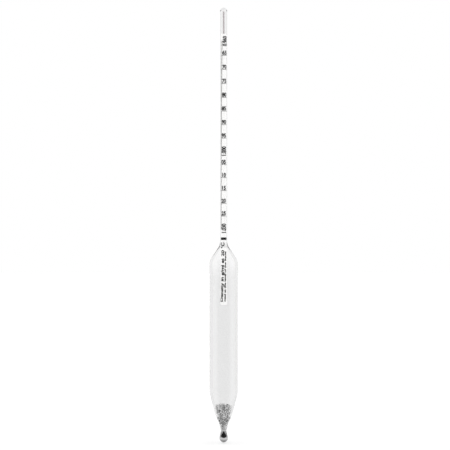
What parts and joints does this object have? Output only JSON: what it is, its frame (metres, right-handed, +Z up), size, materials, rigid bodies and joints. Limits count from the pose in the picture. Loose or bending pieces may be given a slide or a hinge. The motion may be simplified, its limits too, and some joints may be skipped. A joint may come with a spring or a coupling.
{
  "type": "hydrometer",
  "caption": "Slim glass hydrometer: a narrow stem with a rolled paper density scale, a long cylindrical float tapering to a shot-filled foot, and a small bead at the tip.",
  "frame": {"origin": "lowest point of the tip bead, on the axis of the glass", "axes": "+Z up along the axis of the glass, from the tip bead to the closed top of the stem; the upright numerals of the scale face -Y"},
  "size_m": [0.0195, 0.0194, 0.3],
  "materials": {
    "clear_glass": "polished",
    "black_glass": "polished",
    "paper": "matte, printed in black",
    "glue": "glossy",
    "shot": "dull polished",
    "resin": "glossy, translucent"
  },
  "bodies": {
    "root": {"stem_tube": "clear_glass", "float_body": "clear_glass", "tip_bead": "clear_glass", "tip_core": "black_glass", "scale_paper": "paper", "scale_glue": "glue", "ballast_shot": "shot", "ballast_resin": "resin"}
  },
  "joints": []
}
